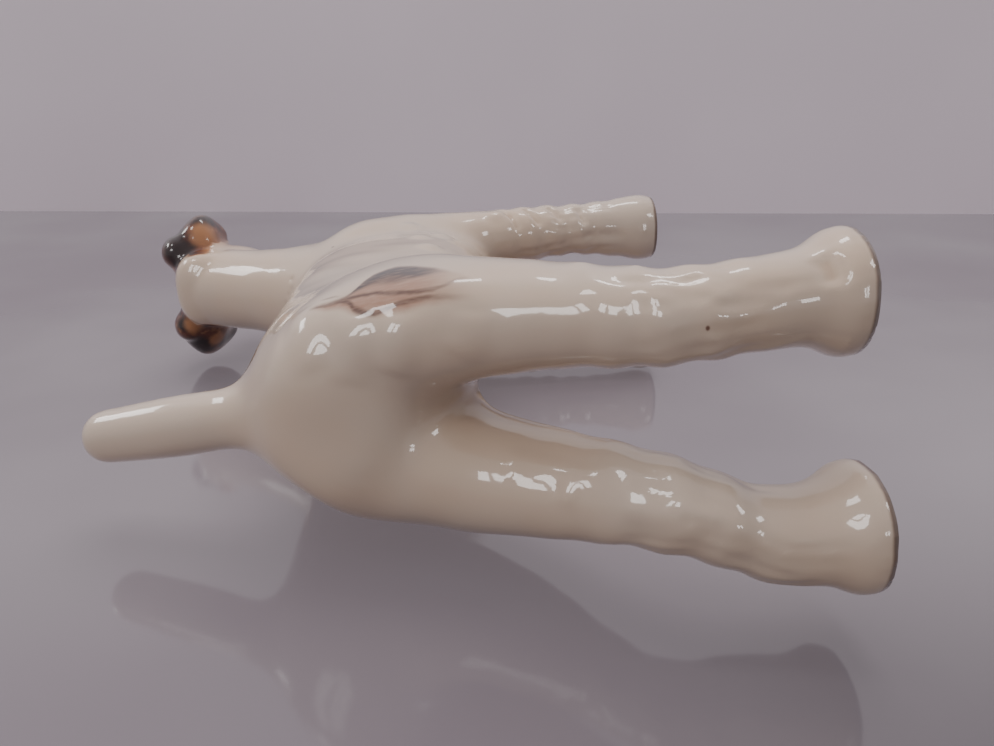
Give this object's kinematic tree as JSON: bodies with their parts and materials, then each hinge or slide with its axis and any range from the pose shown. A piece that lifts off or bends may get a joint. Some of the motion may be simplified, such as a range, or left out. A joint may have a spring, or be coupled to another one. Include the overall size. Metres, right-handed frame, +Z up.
{
  "type": "porcelain dog figurine",
  "caption": "Standing terrier figurine in glazed porcelain: folded ears, bearded square muzzle, upright docked tail, furnished legs and a hollow cast trunk.",
  "frame": {"origin": "on the plane of the soles, under the middle of the dog's box", "axes": "+X towards the nose, +Y to the dog's left, +Z up from the soles"},
  "size_m": [0.2084, 0.063, 0.1624],
  "materials": {
    "glaze": "clear gloss glaze over cream porcelain",
    "ear_glaze": "dark brown underglaze paint, clear gloss glaze"
  },
  "bodies": {
    "root": {"torso_casting": "glaze", "head_neck_casting": "glaze", "right_ear": "ear_glaze", "left_ear": "ear_glaze", "tail": "glaze", "right_front_leg": "glaze", "left_front_leg": "glaze", "right_hind_leg": "glaze", "left_hind_leg": "glaze"}
  },
  "joints": []
}
